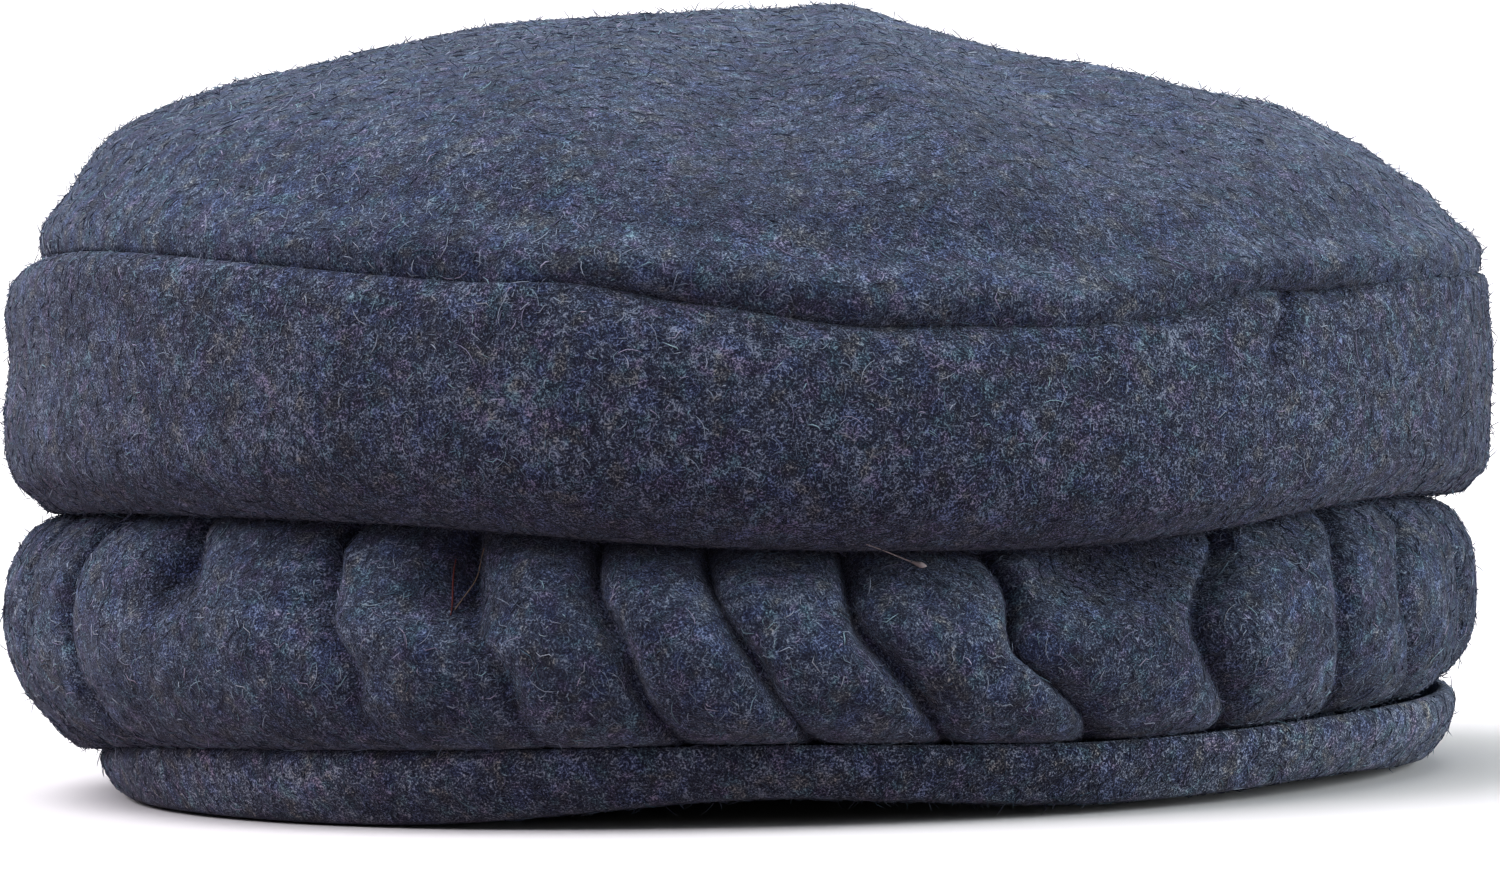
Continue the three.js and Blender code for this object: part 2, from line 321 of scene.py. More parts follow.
def felt_finish(name, tint, contrast):
    """The wool of one piece, on its object's own coordinates counted in millimetres."""
    material, tree = new_finish(name)
    coordinates = tree.node("ShaderNodeTexCoord", out=3)
    place = tree.arrow("SCALE", coordinates, 1.0 / MM)
    swirl = tree.arrow("SUBTRACT", tree.noise(place, WARP_SCALE, 1.0, out=1), (0.5, 0.5, 0.5))
    warped = tree.arrow("ADD", place, tree.arrow("SCALE", swirl, 2.0 * WARP_REACH))
    curls = 0.0
    for scale, half, strength, offset in CURLS:
        moved = tree.arrow("ADD", warped, (offset, offset, offset))
        away = abs(tree.noise(moved, scale, 1.0) - 0.5)
        curls = (1.0 - tree.ease(away, 0.0, half)) * strength + curls
    edge = tree.node("ShaderNodeTexVoronoi", {"feature": "DISTANCE_TO_EDGE"},
                     {"Vector": warped, "Scale": MESH_SCALE}, out="Distance")
    matted = (1.0 - tree.ease(edge, 0.0, MESH_WIDTH)) * MESH_STRENGTH
    fleck = tree.noise(place, FLECK_SCALE, 1.0) - 0.5
    blotch = tree.noise(place, BLOTCH_SCALE, 1.5) - 0.5
    shade = tree.noise(place, SHADE_SCALE, 1.5) - 0.5
    hollow = tree.node("ShaderNodeAttribute", {"attribute_name": "hollow"}, out="Fac")
    tone = fleck * (hollow + FLECK_STRENGTH) + curls + matted
    tone = tone + blotch * BLOTCH_STRENGTH - PATTERN_MEAN + shade * SHADE_STRENGTH
    tone = tone * contrast + MIDDLE_TONE
    stops = [(0.0, NAVY), (0.34, DEEP), (0.62, SLATE), (1.0, MIST)]
    yarn = tree.node("ShaderNodeValToRGB", {"stops": stops}, {"Fac": tone})
    # painted shade: the piece's tint is mixed towards a dark tint as far as its rules paint shade
    deep = tree.mix(hollow, (*tint, 1.0), PAINTED_SHADE_TINT)
    base = tree.mix(1.0, dyed(tree, place, yarn), deep, "MULTIPLY")
    relief = curls * 0.5 + matted * 0.5 + fleck * 0.4 + blotch * 0.2
    bump = tree.node("ShaderNodeBump", {},
                     {"Height": relief, "Distance": MM, "Strength": BUMP_STRENGTH})
    close_finish(tree, {
        "Base Color": base,
        "Roughness": 0.92,
        "Specular IOR Level": 0.2,
        "Sheen Weight": 0.2,
        "Sheen Roughness": 0.45,
        "Sheen Tint": SHEEN_TINT,
        "Normal": bump,
    })
    return material


def floor_finish():
    """A matt floor that looks paler to the camera than the light that it throws back."""
    material, tree = new_finish("pale_floor")
    seen = tree.node("ShaderNodeLightPath")
    close_finish(tree, {"Base Color": tree.mix(seen, BOUNCE_GREY, FLOOR_GREY), "Roughness": 0.9})
    return material


floor.data.materials.append(floor_finish())

# %% [markdown]
# Each solid is a grid of quads that was cut into triangles when it was packed. A copy of it is
# welded, its triangles are joined back into the grid, and a subdivision surface makes it
# smooth. Subdivision also shrinks a form, so the coarse points are first moved out by as much
# as they would shrink. That keeps the true size and gives enough points to press folds into.

# %% Cloth from a solid
WELD = 0.001 * MM
GRID = 2.0  # how strongly joined triangles prefer a regular grid
CREASE_FULL = math.radians(70)  # a fold this sharp stays fully sharp
RIM_TURN = math.radians(60)  # an edge that turns out more than this is a cut rim
RIM_SHARP = 0.9
EXTRA_CUTS = 2
HOLD_ROUNDS = 2
CAP_MIDDLE = Vector((0.0, 0.0, 58.0 * MM))
RESTING = 2.0 * MM  # cloth that is lower than this and faces down is pressed on the floor
FACES_DOWN = -0.4


def cloth_copy(node, name, levels, crease=0.0, cut=None):
    """A fine smooth copy of a solid.

    Each point knows how deep it lies in a fold, from 0 to 1, and each face whether fibres
    stand on it. The edges that cut picks are divided, for a piece that needs more points there.
    """
    bm = bmesh.new()
    bm.from_mesh(solids[node].data)
    bmesh.ops.remove_doubles(bm, verts=bm.verts, dist=WELD)
    bmesh.ops.join_triangles(
        bm, faces=bm.faces, angle_face_threshold=math.pi, angle_shape_threshold=math.pi,
        topology_influence=GRID)
    if cut:
        edges = [edge for edge in bm.edges if cut(edge)]
        bmesh.ops.subdivide_edges(
            bm, edges=edges, cuts=EXTRA_CUTS, smooth=1.0, use_grid_fill=True)
    fold = bm.verts.layers.float.new("fold")
    sharp = bm.edges.layers.float.new("crease_edge")
    coat = bm.faces.layers.float.new("coat")
    for face in bm.faces:
        middle = face.calc_center_median()
        outside = face.normal.dot(middle - CAP_MIDDLE) > 0.0
        resting = middle.z < RESTING and face.normal.z < FACES_DOWN
        face[coat] = 1.0 if outside and not resting else 0.0
    for edge in bm.edges:
        turn = edge.calc_face_angle_signed(0.0)
        depth = min(max(-turn / CREASE_FULL, 0.0), 1.0)
        edge[sharp] = RIM_SHARP if turn > RIM_TURN else crease * depth
        for vert in edge.verts:
            vert[fold] = max(vert[fold], depth)
    coarse = link(name, bm)
    fine = coarse.modifiers.new("fine", "SUBSURF")
    fine.levels = levels
    fine.render_levels = levels
    true_places = [vert.co.copy() for vert in coarse.data.vertices]
    for _ in range(HOLD_ROUNDS):
        hold_size(coarse, true_places)
    return settle(coarse)


def hold_size(obj, true_places):
    """Moves an object's points out by as much as its subdivision surface draws them in."""
    graph = bpy.context.evaluated_depsgraph_get()
    graph.update()
    smooth = bpy.data.meshes.new_from_object(obj.evaluated_get(graph), depsgraph=graph)
    for vert, place, drawn in zip(obj.data.vertices, true_places, smooth.vertices):
        vert.co += place - drawn.co
    obj.data.update()
    bpy.data.meshes.remove(smooth)


def settle(obj):
    """Replaces an object's mesh by what its modifiers make of it, and removes them."""
    graph = bpy.context.evaluated_depsgraph_get()
    mesh = bpy.data.meshes.new_from_object(obj.evaluated_get(graph), depsgraph=graph)
    old = obj.data
    obj.modifiers.clear()
    obj.data = mesh
    mesh.name = obj.name
    bpy.data.meshes.remove(old)
    for polygon in mesh.polygons:
        polygon.use_smooth = True
    return obj


def spread(bm, layer, rounds):
    """The points' values of a layer, mixed with their neighbours' this many times."""
    bm.verts.index_update()
    values = [vert[layer] for vert in bm.verts]
    around = [[edge.other_vert(vert).index for edge in vert.link_edges] for vert in bm.verts]
    for _ in range(rounds):
        means = [sum(values[i] for i in close) / len(close) for close in around]
        values = [(value + mean) / 2.0 for value, mean in zip(values, means)]
    return values


def sculpt(obj, rule, rounds=0):
    """Moves each point as the rule says, and notes how much shade is painted on it, from 0 to 1."""
    bm = bmesh.new()
    bm.from_mesh(obj.data)
    folds = spread(bm, bm.verts.layers.float["fold"], rounds)
    hollow = bm.verts.layers.float.new("hollow")
    for vert, fold in zip(bm.verts, folds):
        move, vert[hollow] = rule(vert.co, vert.normal, fold)
        vert.co += move
    bm.to_mesh(obj.data)
    bm.free()
    print(obj.name, "points:", len(obj.data.vertices), "faces:", len(obj.data.polygons))
    return obj


# %% [markdown]
# The folds, lumps and seams are placed by their angle round the cap and by their distance from
# the pieces' edges. Those edges rise and fall, so their heights are read from the solids.

# %% Measures on the cap
SIDE_COLUMNS = 60  # columns of points round the solid of the side band
BAND_COLUMNS = 66
OUTER_WALL = 105.0 * MM  # farther out than this is the outside of the side band
BAND_WALL = 98.0 * MM


def angle_of(point):
    """Angle round the cap in degrees, from its front towards its right."""
    return math.degrees(math.atan2(point.x, -point.y))


def edge_height(node, columns, least, pick):
    """A function that gives the height of a solid's upper or lower edge at any angle."""
    step = 360.0 / columns
    found = {}
    for vert in solids[node].data.vertices:
        if math.hypot(vert.co.x, vert.co.y) > least:
            column = round(angle_of(vert.co) / step) % columns
            found[column] = pick(found.get(column, vert.co.z), vert.co.z)

    def height(angle):
        place = (angle / step) % columns
        first = int(place)
        share = place - first
        return found[first % columns] * (1.0 - share) + found[(first + 1) % columns] * share

    return height


seam_at = edge_height("crown_side", SIDE_COLUMNS, OUTER_WALL, max)
neck_at = edge_height("crown_side", SIDE_COLUMNS, OUTER_WALL, min)
shelf_at = edge_height("headband", BAND_COLUMNS, BAND_WALL, max)
print("seam, neck and shelf in front:", [round(f(0) / MM, 1) for f in (seam_at, neck_at, shelf_at)])


def lump(point, size, height, seed):
    """A smooth random height, for lumps about size across. Both are in millimetres."""
    place = point / (size * MM) + Vector((seed, 2.0 * seed, 3.0 * seed))
    return noise.noise(place) * height * MM


def lumps(point, rows):
    """Several such heights together, from rows of size, height and seed."""
    return sum(lump(point, *row) for row in rows)


def near(value, middle, width):
    """1 at the middle, falling smoothly to 0 a few widths away."""
    return math.exp(-(((value - middle) / width) ** 2))


def rise(value, low, high):
    """0 below low, 1 above high, and a straight slope between."""
    return min(max((value - low) / (high - low), 0.0), 1.0)


def bumps(value, rows):
    """The sum of soft bumps along a line, from rows of place, half width and height."""
    return sum(high * near(value, place, half) for place, half, high in rows)


def patches(point, angle, rows):
    """The sum of soft patches on the cap, from rows of angle, height, their halves and amount."""
    total = 0.0
    for middle, height, width, half, amount in rows:
        total += amount * near(angle, middle, width) * near(point.z / MM, height, half)
    return total


def inward(point):
    """The level direction from a point to the middle line of the cap."""
    return -Vector((point.x, point.y, 0.0)).normalized()


# %% [markdown]
# Crown and side band are sewn edge to edge from the inside, so both edges turn in and meet at
# the bottom of a soft valley. It is deep where the stitches pull hard and nearly gone where
# they are slack, it waves up and down a little, and it is puckered all the way round. A cloth
# simulation would give it folds in places of its own. These have known places, so each is a
# row of a table, and both pieces follow the same functions.

# %% Seam of crown and side band
SEAM_PULLS = [
    # angle, half width in degrees, how hard the stitches pull there, below 0 where they are slack
    (-62.0, 16.0, -1.1),
    (-43.0, 6.0, -0.6),
    (-30.0, 7.0, -0.2),
    (-17.0, 4.5, -1.0),
    (-6.0, 5.0, 1.0),
    (4.5, 4.5, 0.45),
    (13.0, 6.5, 0.75),
    (34.0, 6.0, 0.25),
    (49.0, 9.0, 1.0),
    (70.0, 9.0, -0.5),
    (110.0, 16.0, 0.6),
    (160.0, 20.0, 0.8),
    (-120.0, 24.0, 0.7),
]
SEAM_DEPTH = 0.15 * MM
PULL_DEPTH = 2.0 * MM
SEAM_WIDTH = 1.6 * MM
SLACK_WIDTH = 3.5 * MM
SEAM_WAVES = [
    # angle, half width in degrees, how far the seam rises there in millimetres
    (-13.0, 6.0, 1.5),
    (8.5, 8.0, -2.0),
    (23.0, 7.0, -1.0),
    (42.5, 6.0, 2.2),
]
WAVE_REACH = 14.0 * MM
FULLNESS = 0.5 * MM  # how much fuller both cloths are near the seam, where they lap inside it
FULL_WIDTH = 7.0 * MM
FULL_AROUND = 60.0  # half width in degrees of the front, where it is so
SEAM_MEET = 0.24 * MM  # how far each edge is moved towards the other
SEAM_CALM = 7.0 * MM  # lumps fade out this far from the seam
PUCKER = (5.0, 1.0, 17.0)  # size, height and seed of the puckers' noise
PUCKER_REACH = 3.0 * MM
SEAM_PAINTED_SHADE = 0.05  # how much shade is painted in the seam's valley where nothing pulls it
# how much more shade is painted where the stitches pull, and how it fades away from the seam
PULL_PAINTED_SHADE = 0.7
SEAM_SHADE_WIDTH = 1.8 * MM
SEAM_SHADE_FALL = 1.3
NAP_ROOM = 0.4 * MM  # the solids' size counts the nap, so the cloth under it is smaller
UP = Vector((0.0, 0.0, 1.0))


def seam_valley(point, away):
    """How far a point is drawn in, and how much shade is painted on it, this far up or down from
    the seam.
    """
    angle = angle_of(point)
    pull = bumps(angle, SEAM_PULLS)
    pucker = lump(point, *PUCKER) * math.exp(-away / PUCKER_REACH)
    width = SEAM_WIDTH if pull > 0.0 else SLACK_WIDTH
    drawn = SEAM_DEPTH * math.exp(-away / SEAM_WIDTH) + PULL_DEPTH * pull * math.exp(-away / width)
    fuller = FULLNESS * near(angle, 0.0, FULL_AROUND) * math.exp(-away / FULL_WIDTH)
    # painted shade in the seam's valley
    dark = rise(SEAM_PAINTED_SHADE + PULL_PAINTED_SHADE * pull, 0.0, 1.0)
    dark *= math.exp(-((away / SEAM_SHADE_WIDTH) ** SEAM_SHADE_FALL))
    return drawn + pucker - fuller, dark


def seam_wave(point, away):
    """How far a point rises with the seam, this far up or down from it."""
    return bumps(angle_of(point), SEAM_WAVES) * MM * math.exp(-away / WAVE_REACH)


# %% [markdown]
# The crown is a disc that was cut flat and steamed into a low dome. It keeps soft lumps from
# being stored and handled, a flatter place just over the seam, and long soft ridges that run
# from front to back and show in its outline. Shade is painted on its front, from the middle to
# the right, and over the seam on the right.

# %% Crown disc
CROWN_LUMPS = [
    # size, height and seed, in millimetres
    (42.0, 1.0, 3.0),
    (17.0, 0.45, 8.0),
    (6.0, 0.16, 12.0),
]
TUCK = (8.0 * MM, 6.0 * MM, 2.3 * MM)  # rise over the seam, half rise and depth of a flatter place
TUCK_LESS = (0.35, 50.0)  # how much shallower it is in front, and half the width of that
CROWN_RIDGES = [
    # place from the middle to the right, half width and height, in millimetres
    (-101.0, 6.0, 0.8),
    (-69.0, 8.0, -0.6),
    (-37.0, 9.0, 0.7),
    (18.5, 7.5, 1.3),
    (46.0, 10.0, -1.0),
    (86.0, 11.0, 1.4),
    (107.0, 4.0, -1.0),
]
RIDGE_RUN = 50.0 * MM  # how far a ridge runs to the front and back
SEAM_SHADES = [(48.0, 8.0, 0.55)]  # angle, half width and how much shade is painted on the crown over the seam
SEAM_SHADE_HIGH = 4.5 * MM
# painted shade that makes the front of the crown darker, from the middle to the right
CROWN_PAINTED_SHADE = 0.5
CROWN_SHADE_X = (-70.0 * MM, -5.0 * MM)  # it starts and is full at these distances to the right,
CROWN_SHADE_OVER = (-4.0 * MM, 16.0 * MM)  # over the seam,
CROWN_SHADE_FRONT = (25.0 * MM, 75.0 * MM)  # and in front of the middle
RIM_RADIUS = 113.0 * MM  # farther out than this is the outside of the rim
RIM_RISE = 5.0 * MM  # least height of an edge that is divided there


def crown_rule(point, normal, fold):
    """How far a point of the crown moves, and how much shade is painted on it."""
    angle = angle_of(point)
    over = max(point.z - seam_at(angle), 0.0)
    calm = rise(over, 0.0, SEAM_CALM)
    drawn, dark = seam_valley(point, over)
    tuck_rise, tuck_half, tuck_depth = TUCK
    less, width = TUCK_LESS
    tuck_depth *= 1.0 - less * near(angle, 0.0, width)
    drawn += tuck_depth * near(over, tuck_rise, tuck_half) + NAP_ROOM * (1.0 - calm)
    lift = bumps(point.x / MM, CROWN_RIDGES) * MM * near(point.y, 0.0, RIDGE_RUN)
    lift += seam_wave(point, over) - SEAM_MEET * math.exp(-over / MM)
    shift = normal * (lumps(point, CROWN_LUMPS) - NAP_ROOM) * calm + inward(point) * drawn
    # painted shade on the front right, and over the seam on the right
    crown_shade = rise(point.x, *CROWN_SHADE_X) * rise(over, *CROWN_SHADE_OVER) * rise(-point.y, *CROWN_SHADE_FRONT)
    dark += CROWN_PAINTED_SHADE * crown_shade + bumps(angle, SEAM_SHADES) * near(over, 0.0, SEAM_SHADE_HIGH)
    return shift + UP * lift, min(dark, 1.0)


def crown_cut(edge):
    """True for the edges that stand on the crown's rim, outside."""
    low, high = sorted((vert.co for vert in edge.verts), key=lambda co: co.z)
    on_rim = low.z < seam_at(angle_of(low)) + MM and math.hypot(low.x, low.y) > RIM_RADIUS
    return on_rim and high.z - low.z > RIM_RISE


crown_top = sculpt(cloth_copy("crown_top", "crown_disc", 2, cut=crown_cut), crown_rule)

# %% [markdown]
# The side band is a strip of the same cloth whose ends meet in a short seam on the right, which
# leans as it goes down. The cloth is pressed in there, and the solid is divided more finely, so
# that so narrow a groove has points to bend. Shade is painted in the groove. Below, the band
# rounds in under itself, and shade is painted on its wool there, most of all in front; a little
# is painted on its left side too.

# %% Side band
SIDE_LUMPS = [
    # size, height and seed, in millimetres
    (38.0, 1.0, 5.0),
    (14.0, 0.45, 9.0),
    (6.0, 0.16, 15.0),
]
JOIN_ANGLE = 46.3
JOIN_WIDTH = 0.65
JOIN_DRIFT = -0.35  # degrees that the join leans for each millimetre down
JOIN_LENGTH = 12.0 * MM
JOIN_FADE = 0.6  # share of that length after which it fades out
JOIN_DEPTH = 2.0 * MM
# painted shade in the join's groove
JOIN_PAINTED_SHADE = 1.6
JOIN_COLUMNS = ((41.0, 43.0), (47.0, 49.0))  # the columns of points beside it lie in these ranges
BELLY_CALM = 6.0 * MM  # lumps fade out this far over the neck
FRONT = (6.0, 44.0)  # middle and half width, in degrees, of the front, where the most shade is painted round the neck
FRONT_SHADES = [
    # how high a painted shade reaches over the neck in millimetres, and how dark it is
    (15.0, 0.7),
    (4.5, 0.3),
]
UNDER_PAINTED_SHADE = 0.25  # painted shade under the band, all the way round
UNDER_HIGH = 4.0 * MM
# painted shade on the band's left side
LEFT_PAINTED_SHADE = 0.11
LEFT_SIDE = (15.0, 50.0)  # it starts and is full this many degrees to the left
TOP_SLOPE = 1.7 * MM  # the upper part leans in under the seam by as much as this
TOP_SLOPE_START = 0.8 * MM
TOP_SLOPE_RUN = 6.0 * MM
TOP_SLOPE_AROUND = 75.0
SIDE_DENTS = [
    # angle, height, half width in degrees, half height and depth in millimetres
    (-88.0, 71.0, 24.0, 6.0, 1.9),
    (-92.0, 50.0, 24.0, 4.0, 0.8),
    (90.0, 72.0, 20.0, 9.0, -0.6),
]


def in_front(angle):
    """1 in front of the cap, falling to 0 towards its sides."""
    return near(angle, *FRONT)


def side_cut(edge):
    """True for the edges that cross the place of the join."""
    angles = sorted(angle_of(vert.co) for vert in edge.verts)
    return all(low < angle < high for angle, (low, high) in zip(angles, JOIN_COLUMNS))


def side_rule(point, normal, fold):
    """How far a point of the side band moves, and how much shade is painted on it."""
    angle = angle_of(point)
    under = max(seam_at(angle) - point.z, 0.0)
    over = max(point.z - neck_at(angle), 0.0)
    calm = rise(under, 0.0, SEAM_CALM) * rise(over, 0.0, BELLY_CALM)
    join = near(angle, JOIN_ANGLE + JOIN_DRIFT * under / MM, JOIN_WIDTH)
    join *= 1.0 - rise(under, JOIN_FADE * JOIN_LENGTH, JOIN_LENGTH)
    drawn, dark = seam_valley(point, under)
    # painted shade under the band, most in front, and on its left side
    shade = sum(most * near(over, 0.0, high * MM) for high, most in FRONT_SHADES)
    shade = shade * in_front(angle) + UNDER_PAINTED_SHADE * math.exp(-over / UNDER_HIGH)
    shade += LEFT_PAINTED_SHADE * rise(-angle, *LEFT_SIDE)
    meet = SEAM_MEET * math.exp(-under / MM) - SEAM_MEET * math.exp(-over / MM)
    meet += seam_wave(point, under) * rise(over, 0.0, WAVE_REACH)
    slope = TOP_SLOPE * (1.0 - math.exp(-under / TOP_SLOPE_START))
    slope *= math.exp(-under / TOP_SLOPE_RUN) * near(angle, 0.0, TOP_SLOPE_AROUND)
    slope += patches(point, angle, SIDE_DENTS) * MM
    pressed = drawn + JOIN_DEPTH * join + slope + NAP_ROOM
    shift = normal * lumps(point, SIDE_LUMPS) * calm + inward(point) * pressed + UP * meet
    return shift, min(dark + JOIN_PAINTED_SHADE * join + shade, 1.0)


crown_side = sculpt(cloth_copy("crown_side", "side_band", 2, cut=side_cut), side_rule)

# %% [markdown]
# The roll is wound from one tube of cloth and gathered as it goes, which leaves slanting
# pillows with soft creases between them. The solid has the pillows already, so the work here
# is to make the creases soft and to bend and fill the few that stray. How folded the solid is
# at a point is spread to the points around it, and both the depth of a crease and the shade
# painted into it follow from that. More shade is painted under the side band and at the foot.
# What is seen on one pillow alone is a row in one of these tables.

# %% Folds of the roll
ROLL_TURNS = [
    # angle, height, half width in degrees, half height in millimetres, turn in degrees
    (-47.0, 47.0, 7.0, 5.0, -3.6),
    (-32.5, 44.5, 5.0, 4.0, -1.0),
    (-32.0, 25.0, 5.5, 5.5, 1.6),
    (-20.0, 25.0, 4.0, 6.0, 1.4),
    (-10.8, 29.0, 5.0, 5.5, 1.0),
    (-2.5, 39.5, 4.0, 7.0, -0.8),
    (9.5, 30.0, 4.5, 9.0, -1.5),
    (25.5, 26.5, 5.5, 6.5, -3.7),
    (37.0, 27.0, 4.0, 7.0, -0.8),
    (34.9, 42.0, 8.0, 7.0, 5.6),
    (50.0, 44.0, 7.0, 6.0, 2.6),
    (49.0, 31.0, 6.0, 8.0, 1.3),
    (60.5, 42.5, 5.0, 6.0, 2.4),
    (43.5, 18.0, 5.0, 6.0, 2.6),
]
PAINTED_SHADE_PATCHES = [
    # angle, height, half width in degrees, half height in millimetres, how much shade is painted
    # or, below 0, how much light
    (-50.0, 38.0, 4.0, 4.0, 0.7),
    (-51.0, 34.5, 5.0, 3.0, 0.35),
    (-33.4, 32.0, 1.6, 3.5, 0.45),
    (-28.0, 17.0, 14.0, 4.5, 0.25),
    (-24.4, 40.5, 3.4, 4.5, 0.85),
    (-7.5, 17.0, 1.6, 4.0, 0.5),
    (29.5, 37.5, 5.5, 5.0, 0.6),
    (35.4, 27.0, 2.8, 9.0, 0.5),
    (38.3, 22.0, 1.8, 5.0, 0.4),
    (-7.8, 29.0, 2.5, 5.0, 0.45),
    (31.0, 33.0, 3.5, 5.0, 0.4),
    (38.5, 39.5, 4.0, 8.5, -0.7),
    (52.0, 42.0, 3.0, 14.0, -0.3),
    (53.5, 46.0, 5.0, 4.0, 0.35),
    (46.5, 43.5, 3.5, 4.5, 0.35),
    (45.0, 26.0, 3.0, 3.5, 0.5),
    (22.0, 37.5, 2.5, 4.5, -0.8),
    (1.5, 17.5, 2.5, 3.0, 0.3),
    (-45.5, 45.0, 3.0, 4.0, -0.5),
    (-30.0, 41.5, 2.5, 4.0, -0.6),
]
FOLD_FILLS = [
    # angle, height, half width in degrees, half height and rise of a filled fold in millimetres
    (38.0, 39.5, 3.0, 9.0, 2.0),
    (22.0, 37.5, 2.5, 4.5, 1.2),
    (52.0, 42.0, 2.5, 14.0, 0.9),
    (42.0, 25.0, 2.5, 7.0, 0.7),
]
GROOVES = [
    # angles at the top and bottom in degrees, both heights, half width and depth in millimetres
    (-66.5, -75.0, 46.0, 24.0, 2.0, 0.9),
    (-75.0, -83.0, 46.0, 24.0, 2.0, 0.9),
]
print("places in the folds:", len(ROLL_TURNS) + len(PAINTED_SHADE_PATCHES) + len(FOLD_FILLS) + len(GROOVES))

# %% Pleated roll
ROLL_LUMPS = [
    # size, height and seed, in millimetres
    (16.0, 0.9, 21.0),
    (7.0, 0.5, 25.0),
    (3.5, 0.2, 28.0),
]
ROLL_CREASE = 0.2  # how much of its sharpness a crease of the solid keeps
ROLL_CALM = 3.0 * MM  # lumps fade out this far from the roll's edges
ROLL_MEET = 2.0 * MM  # and the cloth is moved towards the next piece for this far
SPREAD = 5  # rounds that make a fold wider, both its depth and its painted shade
# painted shade in a fold, and more near its top
FOLD_PAINTED_SHADE = 0.95
FOLD_FILL = 0.6 * MM  # folds are this much shallower than in the solid
TOP_PRESS = 1.0 * MM  # but deeper by this at the top
TOP_REACH = 9.0 * MM
TOP_PAINTED_SHADE = 0.2
TOP_ROUND = 1.4 * MM  # the pillows' tops curve in under the side band by as much as this
TOP_ROUND_REACH = 4.0 * MM
NECK_FULL = 3.8 * MM  # full shade is painted on the roll for this far under the side band
NECK_CLEAR = 7.4 * MM
NECK_PAINTED_SHADE = (0.2, 0.35)  # how much shade is painted there all the way round, and how much more in front
FOLD_DIP = 5.0 * MM  # the painted shade reaches lower by this much in a fold
GROOVE_PAINTED_SHADE = 0.3  # painted shade for each millimetre of depth
GROOVE_END = 4.0  # how soon a groove gets its full depth from its lower end
# painted shade at the roll's foot, over the head band
FOOT_PAINTED_SHADE = 0.35
FOOT_REACH = 2.5 * MM


def turned(point):
    """How far a point of the roll slides round the cap, where the folds lean."""
    turn = patches(point, angle_of(point), ROLL_TURNS)
    return Matrix.Rotation(math.radians(turn), 3, "Z") @ point - point


def groove_at(point, angle):
    """How deep a point lies in the thin grooves at the end of the roll, in millimetres."""
    depth = 0.0
    for top, foot, high, low, half, deep in GROOVES:
        share = rise(point.z / MM, low, high)
        off = math.radians(angle - (foot + (top - foot) * share)) * point.length / MM
        depth += deep * near(off, 0.0, half) * min(GROOVE_END * share, 1.0)
    return depth


def roll_rule(point, normal, fold):
    """How far a point of the roll moves, and how much shade is painted on it."""
    angle = angle_of(point)
    front = in_front(angle)
    under = max(neck_at(angle) - point.z, 0.0)
    over = max(point.z - shelf_at(angle), 0.0)
    calm = rise(under, 0.0, ROLL_CALM) * rise(over, 0.0, ROLL_CALM)
    meet = SEAM_MEET * (math.exp(-under / ROLL_MEET) - math.exp(-over / ROLL_MEET))
    top = near(under, 0.0, TOP_REACH)
    groove = groove_at(point, angle)
    pressed = -FOLD_FILL * fold + TOP_PRESS * fold * top + groove * MM + NAP_ROOM
    pressed += TOP_ROUND * front * near(under, 0.0, TOP_ROUND_REACH)
    pressed -= patches(point, angle, FOLD_FILLS) * MM
    # painted shade in folds, under the side band, in grooves, at the foot and in patches; below 0,
    # painted light
    all_round, more = NECK_PAINTED_SHADE
    shaded = 1.0 - rise(under - FOLD_DIP * fold, NECK_FULL, NECK_CLEAR)
    dark = (FOLD_PAINTED_SHADE + TOP_PAINTED_SHADE * top) * fold + (all_round + more * front) * shaded
    dark += GROOVE_PAINTED_SHADE * groove + FOOT_PAINTED_SHADE * math.exp(-over / FOOT_REACH)
    dark += patches(point, angle, PAINTED_SHADE_PATCHES)
    shift = normal * lumps(point, ROLL_LUMPS) * calm + inward(point) * pressed + UP * meet
    return shift + turned(point), rise(dark, 0.0, 1.0)


roll_copy = cloth_copy("pleated_roll", "wound_roll", 2, crease=ROLL_CREASE)
pleated_roll = sculpt(roll_copy, roll_rule, SPREAD)

# %% [markdown]
# The head band turns at the bottom edge of the cap and stands up outside, under the roll. It
# is the plainest piece: soft lumps on its upright wall, none where it lies on the floor. Shade
# is painted on its front, which lies under the overhanging roll.

# %% Head band
BAND_LUMPS = [
    # size, height and seed, in millimetres
    (24.0, 0.9, 31.0),
    (9.0, 0.4, 35.0),
    (5.0, 0.15, 38.0),
]
HEM_CALM = (2.0 * MM, 6.0 * MM)  # lumps start and are full at these heights
SHELF_CALM = 2.0 * MM
# painted shade on the band's front
BAND_PAINTED_SHADE = 0.62


def band_rule(point, normal, fold):
    """How far a point of the head band moves, and how much shade is painted on it."""
    angle = angle_of(point)
    under = max(shelf_at(angle) - point.z, 0.0)
    calm = rise(point.z, *HEM_CALM) * rise(under, 0.0, SHELF_CALM)
    shift = normal * lumps(point, BAND_LUMPS) * calm + inward(point) * NAP_ROOM
    return shift + UP * SEAM_MEET * math.exp(-under / MM), BAND_PAINTED_SHADE * in_front(angle)


headband = sculpt(cloth_copy("headband", "turned_band", 2), band_rule)

# %% [markdown]
# Each cloth piece takes the place of the solid that it was copied from. Its wool has a tint and
# a contrast of its own, because in the picture the band looks paler and warmer than the rest
# and the side band darker. Both pieces of the crown were cut flat and sewn, and the head band is
# turned over at the hem. The roll is wound and full of cloth.

